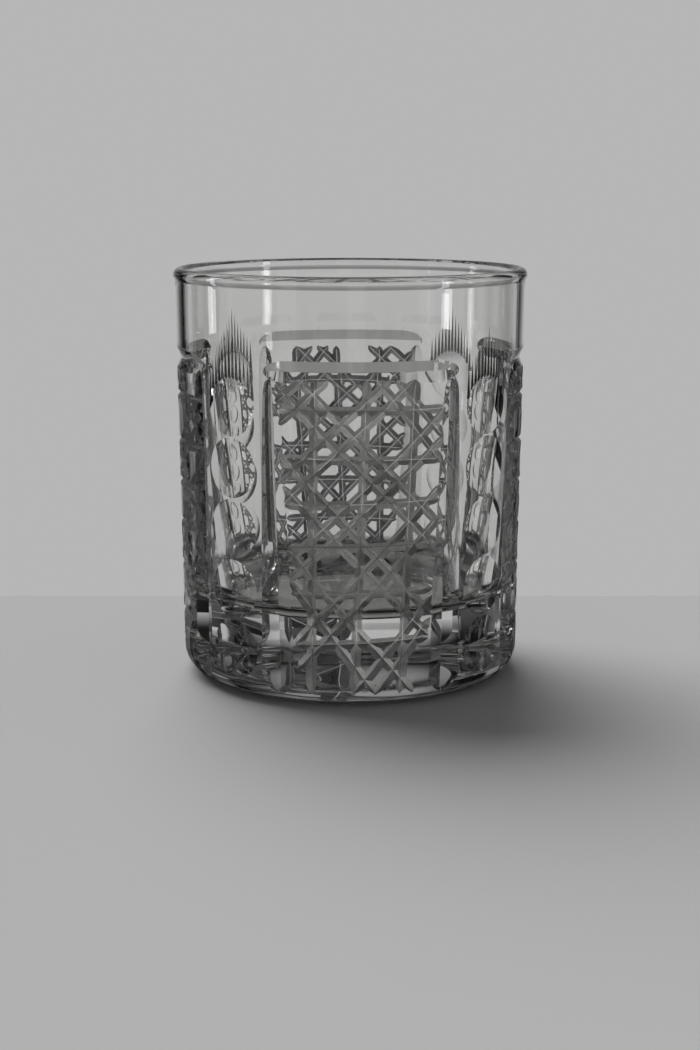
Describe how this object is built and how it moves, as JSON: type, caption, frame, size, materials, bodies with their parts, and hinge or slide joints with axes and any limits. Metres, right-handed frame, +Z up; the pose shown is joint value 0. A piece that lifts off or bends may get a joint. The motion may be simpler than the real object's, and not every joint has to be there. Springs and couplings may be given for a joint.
{
  "type": "whisky tumbler",
  "caption": "Low straight-sided whisky tumbler of clear cut crystal, with cane-cut panels, columns of thumbprint cuts and a heavy base, for drinking spirits.",
  "frame": {"origin": "centre of the flat base, on the surface that the glass stands on", "axes": "+Z up along the glass's axis, -Y through the middle of the front panel"},
  "size_m": [0.082, 0.082, 0.095],
  "materials": {
    "crystal": "clear polished crystal with satin wheel cuts"
  },
  "bodies": {
    "root": {"tumbler": "crystal"}
  },
  "joints": []
}
